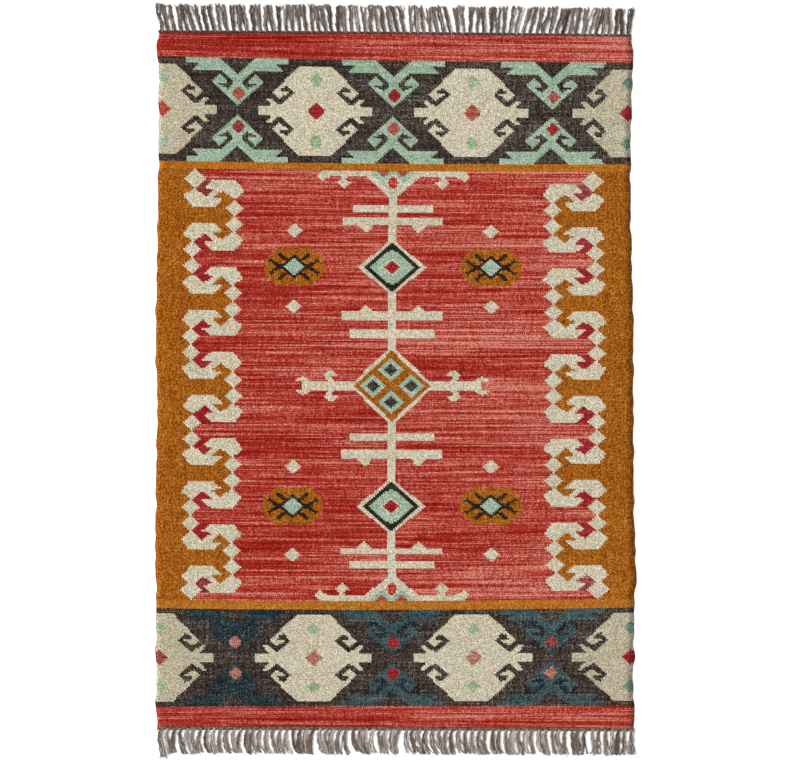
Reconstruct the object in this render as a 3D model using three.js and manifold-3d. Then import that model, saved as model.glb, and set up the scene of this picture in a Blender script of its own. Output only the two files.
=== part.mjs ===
// A flat-woven wool rug that lies open on a floor, with its warps left as a fringe at both ends.
// Millimetres. X runs across the rug along the wefts, Y along the warps, Z up.
// The far end is the one at +Y, the near end the one at -Y.

import * as THREE from "three";
import { mergeVertices } from "three/addons/utils/BufferGeometryUtils.js";
import Module from "manifold-3d";

// The woven cloth
const CLOTH_LENGTH = 1773;
const CLOTH_THICKNESS = 4;
const EDGE_ROUNDING = 1.2; // how far the upper and lower arrises draw in from the edge
const COCKLE_HEIGHT = 0.4; // how far the upper face swells and dips
const COCKLE_LENGTH = { across: 330, along: 410 }; // from swell to swell
const STEPS_ACROSS = 16;
const STEPS_ALONG = 42;

// The selvedges wander. Each row is a place along the cloth, counted from the far end,
// with the distance of the left and the right selvedge from the middle line there.
const SELVEDGES = [
  { along: 0, left: 606, right: 604 },
  { along: 40, left: 610, right: 611 },
  { along: 107, left: 605, right: 607 },
  { along: 291, left: 605, right: 603 },
  { along: 460, left: 607, right: 603 },
  { along: 583, left: 609, right: 606 },
  { along: 737, left: 612, right: 610 },
  { along: 849, left: 612, right: 610 },
  { along: 921, left: 608, right: 610 },
  { along: 1192, left: 612, right: 611 },
  { along: 1336, left: 614, right: 615 },
  { along: 1382, left: 612, right: 618 },
  { along: 1459, left: 611, right: 613 },
  { along: 1551, left: 612, right: 611 },
  { along: 1597, left: 612, right: 614 },
  { along: 1628, left: 610, right: 608 },
  { along: 1720, left: 612, right: 612 },
  { along: 1773, left: 609, right: 612 },
];

// The rows of weft sink a little to the right, more so at the far end.
// drop is how far the right selvedge lies below the middle, bow how far both do.
const ROW_SLANT = [
  { along: 0, drop: 5.4, bow: 1.3 },
  { along: CLOTH_LENGTH, drop: 2, bow: 0.4 },
];

// The fringe at each end hangs on a narrow heading, parted from the cloth by a slit.
const SLIT = 0.3;
const HEADING_THICKNESS = 3.6;
const LOCK_COUNT = 72;
const LOCK_SINK = 4; // how far a lock's root reaches into the heading

// A lock is narrow at its root and opens out to its cut tip.
const LOCK_SECTIONS = [
  { at: 0, width: 6.4, height: 3.2 },
  { at: 0.25, width: 6.6, height: 4.2 },
  { at: 0.6, width: 9, height: 4 },
  { at: 0.86, width: 10.6, height: 3.2 },
  { at: 1, width: 8, height: 2.4 },
];

// How the locks lie, from the left selvedge, at 0, to the right one, at 1.
// lean moves a lock's tip to the right, belly its middle.
const FAR_END = {
  name: "far_fringe",
  along: 0,
  outward: 1,
  headingWidth: 7.5,
  lockLength: 65,
  cornerExtra: 0,
  lockLay: [
    { at: 0, lean: -13, belly: -1 },
    { at: 0.3, lean: -7, belly: -1 },
    { at: 0.62, lean: -9, belly: 0 },
    { at: 0.7, lean: 6, belly: 0 },
    { at: 0.82, lean: 19, belly: 1 },
    { at: 0.93, lean: 14, belly: 1 },
    { at: 1, lean: 6, belly: 0 },
  ],
};
const NEAR_END = {
  name: "near_fringe",
  along: CLOTH_LENGTH,
  outward: -1,
  headingWidth: 10.5,
  lockLength: 59,
  cornerExtra: 11, // the lock at the left corner is longer than the rest
  lockLay: [
    { at: 0, lean: 4, belly: -1 },
    { at: 0.06, lean: 5, belly: -6 },
    { at: 0.45, lean: 7, belly: -6 },
    { at: 0.8, lean: 9, belly: -4 },
    { at: 0.93, lean: 3, belly: -1 },
    { at: 1, lean: -1, belly: 0 },
  ],
};
const LEAN_SPREAD = 1.5; // how far one lock's tip strays from its neighbours' lean
const LENGTH_SPREAD = 3; // how far one lock's length strays from the rest

const clothMaterial = new THREE.MeshStandardMaterial({
  color: 0xa8483c,
  roughness: 0.95,
  metalness: 0,
});
const fringeMaterial = new THREE.MeshStandardMaterial({
  color: 0x8a7b74,
  roughness: 0.95,
  metalness: 0,
});

// The value of one column of a table at a place between its rows, eased from row to row.
function eased(rows, column, key, place) {
  const last = rows.length - 1;
  if (place <= rows[0][column]) return rows[0][key];
  for (let i = 0; i < last; i += 1) {
    const from = rows[i];
    const to = rows[i + 1];
    if (place <= to[column]) {
      const share = (place - from[column]) / (to[column] - from[column]);
      return from[key] + (to[key] - from[key]) * share * share * (3 - 2 * share);
    }
  }
  return rows[last][key];
}

// A repeatable stray number between -1 and 1 for a lock.
function stray(lock, kind) {
  const wave = Math.sin(lock * 12.9898 + kind * 78.233) * 43758.5453;
  return 2 * (wave - Math.floor(wave)) - 1;
}

// The point of the cloth's middle surface at a share of its width, from -1 at the left
// selvedge to 1 at the right one, and a distance along from its far end.
function clothPoint(across, along, inset = 0) {
  const left = eased(SELVEDGES, "along", "left", along) - inset;
  const right = eased(SELVEDGES, "along", "right", along) - inset;
  const drop = eased(ROW_SLANT, "along", "drop", along);
  const bow = eased(ROW_SLANT, "along", "bow", along);
  return {
    x: THREE.MathUtils.lerp(-left, right, (across + 1) / 2),
    y: CLOTH_LENGTH / 2 - along - drop * across - bow * across * across,
  };
}

// Moves every point of a geometry by a function and leaves one vertex at each place.
function reshaped(geometry, move) {
  const points = geometry.attributes.position;
  for (let i = 0; i < points.count; i += 1) {
    const moved = move(points.getX(i), points.getY(i), points.getZ(i));
    points.setXYZ(i, moved.x, moved.y, moved.z);
  }
  geometry.deleteAttribute("normal");
  geometry.deleteAttribute("uv");
  return mergeVertices(geometry, 1e-4);
}

// The cloth: a flat sheet with wandering selvedges, rounded arrises and a cockled upper face.
function clothGeometry() {
  const block = new THREE.BoxGeometry(2, 2, 2, STEPS_ACROSS, STEPS_ALONG, 2);
  return reshaped(block, (across, up, level) => {
    const inset = Math.abs(level) * EDGE_ROUNDING;
    const trimmed = (up * (CLOTH_LENGTH - 2 * inset)) / 2;
    const { x, y } = clothPoint(across, CLOTH_LENGTH / 2 - trimmed, inset);
    const swell =
      Math.sin((2 * Math.PI * x) / COCKLE_LENGTH.across + 0.7) *
      Math.sin((2 * Math.PI * y) / COCKLE_LENGTH.along + 0.3);
    const top = CLOTH_THICKNESS + COCKLE_HEIGHT * swell;
    return { x, y, z: level < 0 ? 0 : (top * (level + 1)) / 2 };
  });
}

// The heading: a strip that follows the cloth's end edge.
function headingGeometry(end) {
  const block = new THREE.BoxGeometry(2, 1, 1, LOCK_COUNT, 1, 1);
  return reshaped(block, (across, share, level) => {
    const edge = clothPoint(across, end.along);
    const out = SLIT + (0.5 + end.outward * share) * end.headingWidth;
    return {
      x: edge.x,
      y: edge.y + end.outward * out,
      z: (level + 0.5) * HEADING_THICKNESS,
    };
  });
}

// One lock of the fringe, flat on the floor from its root in the heading to its tip.
function lockGeometry(end, lock) {
  const across = ((lock + 0.5) / LOCK_COUNT) * 2 - 1;
  const place = (across + 1) / 2;
  const root = clothPoint(across, end.along);
  const start = SLIT + end.headingWidth - LOCK_SINK;
  const length =
    end.lockLength +
    LENGTH_SPREAD * stray(lock, end.along + 1) +
    (lock === 0 ? end.cornerExtra : 0);
  const lean =
    eased(end.lockLay, "at", "lean", place) + LEAN_SPREAD * stray(lock, end.along + 2);
  const belly = eased(end.lockLay, "at", "belly", place);
  const steps = LOCK_SECTIONS.length - 1;
  const block = new THREE.BoxGeometry(1, 1, 1, 1, steps, 1);
  return reshaped(block, (side, share, level) => {
    const walk = end.outward * share + 0.5;
    const { at, width, height } = LOCK_SECTIONS[Math.round(walk * steps)];
    const middle = root.x + lean * at + belly * 4 * at * (1 - at);
    return {
      x: middle + side * width,
      y: root.y + end.outward * (start + at * (LOCK_SINK + length)),
      z: (level + 0.5) * height,
    };
  });
}

const manifold = await Module();
manifold.setup();

function solidOf(geometry) {
  const mesh = new manifold.Mesh({
    numProp: 3,
    vertProperties: new Float32Array(geometry.attributes.position.array),
    triVerts: new Uint32Array(geometry.index.array),
  });
  return new manifold.Manifold(mesh);
}

function geometryOf(solid) {
  const mesh = solid.getMesh();
  return new THREE.BufferGeometry()
    .setAttribute("position", new THREE.BufferAttribute(mesh.vertProperties, 3))
    .setIndex(new THREE.BufferAttribute(mesh.triVerts, 1));
}

// The fringe of one end: its locks joined to the heading at their roots.
function fringeGeometry(end) {
  let fringe = solidOf(headingGeometry(end));
  for (let lock = 0; lock < LOCK_COUNT; lock += 1) {
    fringe = fringe.add(solidOf(lockGeometry(end, lock)));
  }
  return geometryOf(fringe);
}

function namedMesh(name, geometry, material) {
  geometry.computeVertexNormals();
  const mesh = new THREE.Mesh(geometry, material);
  mesh.name = name;
  return mesh;
}

const rug = new THREE.Group();
rug.add(namedMesh("rug_cloth", clothGeometry(), clothMaterial));
for (const end of [FAR_END, NEAR_END]) {
  rug.add(namedMesh(end.name, fringeGeometry(end), fringeMaterial.clone()));
}

// The origin is on the floor, under the middle of the rug with its fringes.
const middle = new THREE.Box3().setFromObject(rug).getCenter(new THREE.Vector3());
rug.position.set(-middle.x, -middle.y, 0);

export default rug;
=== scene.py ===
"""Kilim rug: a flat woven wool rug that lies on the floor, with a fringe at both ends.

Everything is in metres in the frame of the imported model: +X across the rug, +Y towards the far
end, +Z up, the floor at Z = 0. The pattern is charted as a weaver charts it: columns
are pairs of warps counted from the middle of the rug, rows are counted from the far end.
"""

import math
from types import SimpleNamespace

import bpy
import numpy as np
from bpy.props import FloatProperty, FloatVectorProperty, IntProperty, PointerProperty
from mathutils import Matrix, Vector


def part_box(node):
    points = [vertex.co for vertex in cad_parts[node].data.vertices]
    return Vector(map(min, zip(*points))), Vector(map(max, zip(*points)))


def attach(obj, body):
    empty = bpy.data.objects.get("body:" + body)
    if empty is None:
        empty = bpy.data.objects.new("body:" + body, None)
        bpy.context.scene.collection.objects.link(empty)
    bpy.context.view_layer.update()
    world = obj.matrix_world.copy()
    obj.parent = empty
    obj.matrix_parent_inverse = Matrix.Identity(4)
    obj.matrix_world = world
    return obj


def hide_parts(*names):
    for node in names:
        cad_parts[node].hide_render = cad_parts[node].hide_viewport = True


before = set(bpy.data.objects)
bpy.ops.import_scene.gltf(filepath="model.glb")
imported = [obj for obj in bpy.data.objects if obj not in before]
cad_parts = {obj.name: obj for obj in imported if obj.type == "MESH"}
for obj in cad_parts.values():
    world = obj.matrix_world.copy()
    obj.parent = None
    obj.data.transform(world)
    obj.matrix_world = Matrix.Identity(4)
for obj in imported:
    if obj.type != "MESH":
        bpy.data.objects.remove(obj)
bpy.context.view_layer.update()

bl_info = {
    "name": "Kilim rug",
    "version": (1, 0, 0),
    "blender": (4, 5, 0),
    "location": "View3D > Sidebar > Kilim",
    "description": "Builds a flat woven rug with a charted pattern and fringed ends",
    "category": "Add Mesh",
}

CLOTH_LOW, CLOTH_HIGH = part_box("rug_cloth")

# ---- the cloth's outline, in metres
CLOTH_LENGTH = 1.773
CLOTH_THICKNESS = 0.004
EDGE_ROUNDING = 0.0012
COCKLE_HEIGHT = 0.0004
COCKLE_LENGTH = (0.33, 0.41)
COCKLE_START = (0.7, 0.3)
# for the lines across and along the rug: wavelength, how far they wander, and over what length
RIPPLES = ((0.083, 0.6, 0.31), (0.127, 0.5, 0.23))
RIPPLE_HEIGHT = 0.00018
# the gap in which a heading is parted from the cloth
SLIT = 0.0003
# from the far end: how far down the rug, and the left and right edge's distance from the middle
SELVEDGES = np.array([
    (0.000, 0.606, 0.604), (0.040, 0.610, 0.611), (0.107, 0.605, 0.607), (0.291, 0.605, 0.603),
    (0.460, 0.607, 0.603), (0.583, 0.609, 0.606), (0.737, 0.612, 0.610), (0.849, 0.612, 0.610),
    (0.921, 0.608, 0.610), (1.192, 0.612, 0.611), (1.336, 0.614, 0.615), (1.382, 0.612, 0.618),
    (1.459, 0.611, 0.613), (1.551, 0.612, 0.611), (1.597, 0.612, 0.614), (1.628, 0.610, 0.608),
    (1.720, 0.612, 0.612), (1.773, 0.609, 0.612),
])
# how far down the rug: the rows' slant and their bow from edge to edge
ROW_SLANT = np.array([
    (0.000, 0.0054, 0.0013), (0.067, 0.0082, -0.0032), (0.331, 0.0046, -0.0031),
    (0.900, 0.0015, -0.0020), (1.474, -0.0008, -0.0049), (1.721, -0.0013, 0.0005),
    (1.773, 0.0020, 0.0004),
])
# how far down the rug, and how far the warps lean to the left in the middle of the rug
WARP_SWAY = np.array([
    (0.0, 0.0013), (0.427, 0.0032), (0.56, 0.0058), (0.76, 0.0068), (1.0, 0.0088), (1.32, 0.0102),
    (1.773, 0.0100),
])

# ---- the weave
# a column of the chart is a pair of warps, and a row is four picks of weft
COLUMNS = 236
YARNS = (
    "red", "cream", "charcoal", "mint", "ochre", "navy", "black_brown", "crimson", "coral",
    "rose", "salmon", "oat", "slate", "sage", "ink", "teal", "amber",
)
(RED, CREAM, CHARCOAL, MINT, OCHRE, NAVY, BLACK, CRIMSON, CORAL, ROSE, SALMON, OAT, SLATE, SAGE,
 INK, TEAL, AMBER) = range(len(YARNS))
# the yarn of the ground, its rows, and their length along the rug in metres
ZONES = (
    (RED, 15, 0.067), (CHARCOAL, 57, 0.264), (AMBER, 4, 0.019), (RED, 239, 1.101),
    (AMBER, 5, 0.023), (CHARCOAL, 57, 0.247), (RED, 12, 0.052),
)
ROW_ENDS = np.cumsum([0] + [rows for _, rows, _ in ZONES])
LENGTH_ENDS = np.cumsum([0] + [length for _, _, length in ZONES])
ROWS = int(ROW_ENDS[-1])
FAR_BAND, FIELD, FIELD_END, NEAR_BAND = (int(ROW_ENDS[zone]) for zone in (1, 3, 4, 5))
BAND_ROWS = ZONES[1][1]

# turns of a motif: left and right, top and bottom
ONE = ((1, 1),)
LEFT_RIGHT = ((1, 1), (-1, 1))
FOUR_WAYS = ((1, 1), (-1, 1), (1, -1), (-1, -1))


class Chart:
    """The weaver's chart: one yarn number for each column of each row."""

    def __init__(self):
        self.yarn = np.zeros((ROWS, COLUMNS), int)
        self.across = np.arange(COLUMNS) + 0.5 - COLUMNS / 2
        self.down = np.arange(ROWS) + 0.5
        for (yarn, _, _), start, end in zip(ZONES, ROW_ENDS, ROW_ENDS[1:]):
            self.yarn[start:end] = yarn

    def fill(self, yarn, outline, at=(0, 0), turns=ONE, rows=(0, ROWS)):
        """Fills an outline, given round its own middle, at a place and in each of its turns."""
        for turn_across, turn_down in turns:
            corners = [(at[0] + turn_across * a, at[1] + turn_down * d) for a, d in outline]
            inside = np.zeros(self.yarn.shape, bool)
            for (a0, d0), (a1, d1) in zip(corners, corners[1:] + corners[:1]):
                if d0 == d1:
                    continue
                crossing = a0 + (self.down - d0) * (a1 - a0) / (d1 - d0)
                spanned = (self.down > min(d0, d1)) & (self.down <= max(d0, d1))
                inside ^= spanned[:, None] & (self.across[None, :] < crossing[:, None])
            inside[:rows[0]] = False
            inside[rows[1]:] = False
            self.yarn[inside] = yarn

    def diamond(self, yarn, half, at, rows=(0, ROWS)):
        """Fills a diamond of a half width and a half height."""
        across, down = half
        self.fill(yarn, [(-across, 0), (0, -down), (across, 0), (0, down)], at, rows=rows)

    def rings(self, rings, at):
        """Fills diamonds one in the other, the widest first."""
        for yarn, half in rings:
            self.diamond(yarn, half, at)


def bar(left, top, right, bottom):
    """The outline of a bar."""
    return [(left, top), (right, top), (right, bottom), (left, bottom)]


# ---- the motifs
# Places and outlines are in columns from the middle of the rug, or of the motif, and in rows
# from the field's far end, or from the motif's middle.
# for the left and the right side: the row of the first hook, and the rows from hook to hook
HOOK_CHAINS = ((-1, 13.6, 23.8), (1, 14.5, 23.6))
HOOKS = 10
HOOK_COLUMN = 89.9
OUTER_COLUMN = 100.5
INNER_COLUMN = 79.5
HOOK = [
    (-0.5, -7.33), (11.2, -7.33), (15.4, -1.2), (10.1, 3.1), (4.3, -1.8), (-0.3, 2.2),
    (5, 3.2), (0.5, 7.33), (-11.2, 7.33), (-15.4, 1.2), (-10.1, -3.1), (-4.3, 1.8),
    (0.3, -2.2), (-5, -3.2),
]
HOOK_NOTCH = [(-10.1, -3.1), (-4.7, 2.1), (0.25, -2.1), (-0.5, -7.3), (-6, -7.3)]
# half width and half height of the diamonds that come again
HEART = (3.4, 3.9)
SPOT = (3.6, 3.9)
LINK = (4.4, 4.9)
LINK_STEP = 4.5
# what closes a chain of hooks at its far and near end: columns inwards, row and half sizes
CHAIN_ENDS = ((1, 5.5, (5.6, 5.9)), (0, 233.5, (5.4, 5.4)))

HEXAGON = [
    (0, 24.4), (8.5, 24.4), (21.3, 9.9), (17.9, 6.6), (13.3, 10.4), (17.7, 10.7), (17.1, 12.3),
    (14.3, 13.8), (10.9, 9.9), (17.5, 2.8), (17.5, 0), (0, 0),
]
HEXAGON_ARM = [(0, 0), (0, 2.4), (27.4, 2.4), (28.6, 2.9), (28.2, 1.2), (28.2, 0)]
# the columns that the small diamonds of the hexagons at the sides stand on
OUTERMOST = 116.5
HEXAGON_PRONG = [(24.6, 6.9), (22.3, 6.9), (17.2, 2.4), (17.2, 0), (20, 0), (21.8, 2.6)]
CROSS_CURL = [(-13, -21.4), (0, -21.4), (0, -2), (-12.9, -15.7)]
CROSS_ARM = [
    (-26, -28.5), (-25.5, -25.5), (-18.8, -25.5), (-22.6, -22), (-22.6, -21.4), (-7.4, -21.4),
    (-1.9, -15.2), (-5, -11.6), (-9.2, -14.1), (-4.8, -15.2), (-9.2, -19.3), (-12.9, -15.7),
    (0, -2), (0, -19.3), (-8.7, -28.5),
]
# rows from a band's middle to the hearts of a cross and to the buds of a hexagon
HEART_STEP = 9
BUD_STEP = 17
# for each cross: its column, its yarn, and the yarns of its far and near hearts
FAR_CROSSES = (
    (-78.5, MINT, CORAL, ROSE), (-0.5, MINT, CRIMSON, CORAL), (78.7, MINT, CORAL, CRIMSON),
)
NEAR_CROSSES = (
    (-78.5, NAVY, SALMON, SALMON), (0.6, SLATE, CRIMSON, CRIMSON), (78.3, SLATE, ROSE, SALMON),
)
# for each hexagon: its column, and the yarns of its heart and of its buds
FAR_HEXAGONS = (
    (-117.5, CORAL, MINT), (-39.5, CRIMSON, SAGE), (38.6, CORAL, SAGE), (117.2, CRIMSON, TEAL),
)
NEAR_HEXAGONS = (
    (-118, ROSE, SAGE), (-38.8, SALMON, SAGE), (39.8, SALMON, SAGE), (117, CRIMSON, TEAL),
)
# how much wider and taller than charted the hexagons of a band are beaten
FAR_STRETCH = (1.0, 1.0)
NEAR_STRETCH = (1.02, 1.025)

# the bars of the middle column: top row, bottom row and half width
BARS = (
    (19, 23, 20.4), (26, 30, 25.0), (78.4, 83.1, 25.0), (87.8, 92.5, 20.7), (145.9, 150.3, 21.0),
    (155.3, 159.8, 25.0), (210, 213.4, 25.0), (217, 220.5, 21.0),
)
# the teeth on the bars: the row of their base and of their tip
TEETH = ((30, 34.3), (78.4, 74.2), (159.8, 164.2), (210, 206.0))
TOOTH_COLUMNS = (9.1, 17.2, 13)
EYES = (53.5, 186.5)
EYE_RINGS = (
    (CREAM, (16.9, 15.9)), (BLACK, (14.3, 13.5)), (MINT, (10.9, 10.4)), (CREAM, (4.9, 4.7)),
    (CRIMSON, (3.6, 3.5)),
)
STAR = 119.5
STAR_RINGS = ((CREAM, (21.0, 22.6)), (OCHRE, (18.9, 19.6)))
STAR_PANES = ((-9.5, 0), (9.5, 0), (-0.5, -9), (-0.5, 9))
PANE_RINGS = ((MINT, (6.4, 7.0)), (CHARCOAL, HEART))
END_STUB = [(-35.5, 0), (-38.7, 3.3), (-35.8, 6), (-30.7, 2.6), (-30.7, 0)]
END_FOOT = [
    (-26.1, 2.7), (-25.6, 4.2), (-28.2, 6), (-24.2, 9.8), (-21.2, 6.6), (-24, 4.4), (-22.9, 2.7),
]
ARM = bar(0, 0, 44.5, 2.4)
ARM_FORK = [(-40.7, -2.4), (-44.5, -5.8), (-48, -2.9), (-44.5, -2), (-44.5, 0), (-40.7, 0)]
ARM_HOOK = [
    (-31.8, -2.4), (-34.1, -6.1), (-29.9, -9.4), (-26.8, -6.1), (-30.4, -5.2), (-28.5, -2.4),
]
# rows from the field's end to the tip of its half diamond, at the far and near end
FAR_TIP = 15.1
NEAR_TIP = 13.6
TIP_RINGS = ((CREAM, (4.7, 5.3)), (RED, (3.4, 3.7)))
TIP_RING_ROW = 6.5
OVAL_COLUMN = 49
OVAL = [
    (14.7, 0), (14.7, 3.2), (12.6, 6.9), (9.2, 10.1), (7.4, 10.9), (1.7, 10.9), (0, 8.6),
    (0, 0),
]
OVAL_FORK = [(5.5, 0), (5.5, 1.2), (8, 1.6), (11.3, 4.4), (12.9, 3.2), (8.8, 0)]
OVAL_STROKE = [(3.0, 4.4), (7.4, 7.9), (8.6, 6.6), (4.6, 3.0)]
OVAL_RINGS = ((BLACK, (7.4, 6.9)), (MINT, (5.0, 5.0)))
SPOT_ROWS = (33.5, 75.5, 164.5, 213.5)


def chart_borders(chart):
    """The ochre side borders, the chain of hooks in each, and the small diamonds between."""
    for side, first_hook, hook_rows in HOOK_CHAINS:
        hooks = [FIELD + first_hook + hook_rows * hook for hook in range(HOOKS)]
        edges = (side * OUTER_COLUMN, side * INNER_COLUMN)
        for gap, (row, end) in enumerate(zip([FIELD, *hooks], [*hooks, FIELD_END])):
            ground = bar(edges[gap % 2], row, side * COLUMNS, end)
            chart.fill(OCHRE, ground, rows=(FIELD, FIELD_END))
        for hook, row in enumerate(hooks):
            at = (side * HOOK_COLUMN, row)
            turn = (-side, 1 if hook % 2 == 0 else -1)
            notch = ROSE if hook in (0, HOOKS - 1) else CRIMSON
            chart.fill(notch, HOOK_NOTCH, at, (turn,))
            chart.fill(OCHRE, HOOK_NOTCH, at, ((-turn[0], -turn[1]),))
            chart.fill(CREAM, HOOK, at, (turn,))
        for gap in range(HOOKS - 1):
            row = FIELD + first_hook + hook_rows * (gap + 0.5)
            for step in (-LINK_STEP, LINK_STEP):
                at = (edges[1 - gap % 2], math.floor(row + step) + 0.5)
                chart.diamond(CREAM, LINK, at)
        for inwards, row, half in CHAIN_ENDS:
            chart.diamond(CREAM, half, (side * (OUTER_COLUMN - inwards), FIELD + row))


def chart_half_diamond(chart, base, turn, tip):
    """The half diamond that closes the middle column at an end of the field."""
    parts = (
        (CREAM, bar(0, 0, 36, 3)), (CREAM, END_STUB), (CREAM, END_FOOT),
        (CREAM, [(0, 0), (14.2, 0), (14.2, 2.2), (1.9, tip), (0, tip)]),
        (MINT, [(0, 0), (11.6, 0), (0, tip - 1.9)]), (CORAL, [(1.6, 0), (5.2, 3.4), (8.9, 0)]),
    )
    for yarn, outline in parts:
        chart.fill(yarn, outline, (0, base), ((1, turn), (-1, turn)))
    chart.rings(TIP_RINGS, (0, base + turn * TIP_RING_ROW))


def chart_middle(chart):
    """The column of bars, eyes and the star that runs down the middle of the field."""
    chart.fill(CREAM, bar(-2, FIELD, 2, FIELD_END))
    chart_half_diamond(chart, FIELD, 1, FAR_TIP)
    chart_half_diamond(chart, FIELD_END, -1, NEAR_TIP)
    for top, bottom, half in BARS:
        chart.fill(CREAM, bar(-half, FIELD + top, half, FIELD + bottom))
    for base, tip in TEETH:
        rows = (FIELD + base, FIELD + base, FIELD + tip)
        chart.fill(CREAM, list(zip(TOOTH_COLUMNS, rows)), turns=LEFT_RIGHT)
    for row in EYES:
        chart.rings(EYE_RINGS, (0, FIELD + row))
    for outline in (ARM, ARM_FORK, ARM_HOOK):
        chart.fill(CREAM, outline, (0, FIELD + STAR), FOUR_WAYS)
    chart.rings(STAR_RINGS, (0, FIELD + STAR))
    for across, down in STAR_PANES:
        chart.rings(PANE_RINGS, (across, FIELD + STAR + down))


def chart_field_motifs(chart):
    """The four ovals and the small cream diamonds that stand in the open field."""
    for column in (-OVAL_COLUMN, OVAL_COLUMN):
        for row in SPOT_ROWS:
            chart.diamond(CREAM, SPOT, (column, FIELD + row))
        for row in EYES:
            at = (column, FIELD + row)
            for yarn, outline in ((OCHRE, OVAL), (BLACK, OVAL_FORK), (BLACK, OVAL_STROKE)):
                chart.fill(yarn, outline, at, FOUR_WAYS)
            chart.rings(OVAL_RINGS, at)


def chart_band(chart, start, stretch, crosses, hexagons):
    """An end band: cream hexagons with hooked arms, and crosses between them."""
    rows = (start, start + BAND_ROWS)
    middle = start + BAND_ROWS / 2
    for across, yarn, *hearts in crosses:
        at = (across, middle)
        if yarn != MINT:
            chart.fill(INK, CROSS_CURL, at, FOUR_WAYS, rows)
        chart.fill(yarn, CROSS_ARM, at, FOUR_WAYS, rows)
        for step, heart in zip((-HEART_STEP, HEART_STEP), hearts):
            chart.diamond(heart, HEART, (across + 0.5, middle + step), rows)
    for across, heart, bud in hexagons:
        body = OAT if abs(across) > OUTER_COLUMN else CREAM
        for outline in (HEXAGON, HEXAGON_ARM, HEXAGON_PRONG):
            stretched = [(a * stretch[0], d * stretch[1]) for a, d in outline]
            chart.fill(body, stretched, (across, middle), FOUR_WAYS, rows)
        column = min(max(across + 0.5, -OUTERMOST), OUTERMOST)
        chart.diamond(heart, LINK, (column, middle))
        for step in (-BUD_STEP, BUD_STEP):
            chart.diamond(bud, HEART, (column, middle + step))


def rug_chart():
    """The whole chart, from the far left corner of the rug."""
    chart = Chart()
    chart_borders(chart)
    chart_middle(chart)
    chart_field_motifs(chart)
    chart_band(chart, FAR_BAND, FAR_STRETCH, FAR_CROSSES, FAR_HEXAGONS)
    chart_band(chart, NEAR_BAND, NEAR_STRETCH, NEAR_CROSSES, NEAR_HEXAGONS)
    return chart.yarn


# unlike shares of a patch's own number and its neighbours', so that bobbins differ
OWN_SHARE = 0.618034
LEFT_SHARE = 0.754878
RIGHT_SHARE = 0.569840


def bobbins_of(yarn):
    """A number for each bobbin: a patch of one yarn between the same two neighbours."""
    patch = np.zeros(yarn.shape, int)
    parent = [0]

    def root(number):
        while parent[number] != number:
            number = parent[number]
        return number

    runs = []
    for row in range(ROWS):
        edges = (np.flatnonzero(np.diff(yarn[row])) + 1).tolist()
        for start, end in zip([0, *edges], [*edges, COLUMNS]):
            number = len(parent)
            parent.append(number)
            patch[row, start:end] = number
            runs.append((row, start, end))
            if row:
                above = (yarn[row - 1, start:end] == yarn[row, start]).nonzero()[0] + start
                for other in np.unique(patch[row - 1, above]):
                    parent[root(number)] = root(int(other))
    roots = np.array([root(number) for number in range(len(parent))])
    patch = roots[patch]
    bobbin = np.zeros(yarn.shape)
    for row, start, end in runs:
        left = patch[row, start - 1] if start else -1
        right = patch[row, end] if end < COLUMNS else -2
        own = patch[row, start]
        bobbin[row, start:end] = (own * OWN_SHARE + left * LEFT_SHARE + right * RIGHT_SHARE) % 1.0
    return bobbin


# ---- places on the rug
def eased(table, along):
    """Eases smoothly from one row of a table to the next; its first column is the way along."""
    along = np.clip(np.asarray(along, float), table[0, 0], table[-1, 0])
    step = np.clip(np.searchsorted(table[:, 0], along, side="right") - 1, 0, len(table) - 2)
    share = (along - table[step, 0]) / (table[step + 1, 0] - table[step, 0])
    share = share * share * (3 - 2 * share)
    return [(1 - share) * table[step, k] + share * table[step + 1, k]
            for k in range(1, table.shape[1])]


# the frame's own middle, against the middle line that the tables above count from
SHIFT_X = CLOTH_LOW.x + SELVEDGES[:, 1].max()
SHIFT_Y = CLOTH_HIGH.y - CLOTH_LENGTH / 2 - (ROW_SLANT[0, 1] - ROW_SLANT[0, 2])


def cloth_place(across, along, sway=True):
    """Where a place on the cloth lies: across from -1 to 1, along in metres from the far end."""
    across = np.asarray(across, float)
    left, right = eased(SELVEDGES, along)
    drop, bow = eased(ROW_SLANT, along)
    x = -left + (left + right) * (across + 1) / 2
    if sway:
        x = x - eased(WARP_SWAY, along)[0] * (1 - across * across)
    y = CLOTH_LENGTH / 2 - along - drop * across - bow * across * across
    return x, y


def cockle(x, y):
    """The slight rise and fall of the cloth."""
    return COCKLE_HEIGHT * (np.sin(math.tau * x / COCKLE_LENGTH[0] + COCKLE_START[0])
                            * np.sin(math.tau * y / COCKLE_LENGTH[1] + COCKLE_START[1]))


def ripple(x, y):
    """The small ripples that the warps' tension leaves, on crossing lines that wander."""
    rise = RIPPLE_HEIGHT
    for (length, sway, sway_length), near, far in zip(RIPPLES, (x, y), (y, x)):
        bent = near / length + sway * np.sin(math.tau * far / sway_length)
        rise = rise * np.sin(math.tau * bent)
    return rise


def stray(lock, kind):
    """A number from -1 to 1 that is always the same for one lock."""
    swing = math.sin(lock * 12.9898 + kind * 78.233) * 43758.5453
    return 2 * (swing - math.floor(swing)) - 1


def new_mesh(name, points, faces, **vectors):
    """A smooth mesh, with the vectors that its material reads for each point."""
    mesh = bpy.data.meshes.new(name)
    mesh.from_pydata(points.tolist(), [], faces)
    for label, values in vectors.items():
        attribute = mesh.attributes.new(label, "FLOAT_VECTOR", "POINT")
        attribute.data.foreach_set("vector", values.astype(np.float32).ravel())
    mesh.shade_smooth()
    return mesh


# ---- the cloth's mesh
# columns between the steady breaks of a row's faces, and those beside each selvedge
STEADY_BREAK = 8
SIDE_BREAKS = (0.5, 1.0, 2.0)
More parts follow.
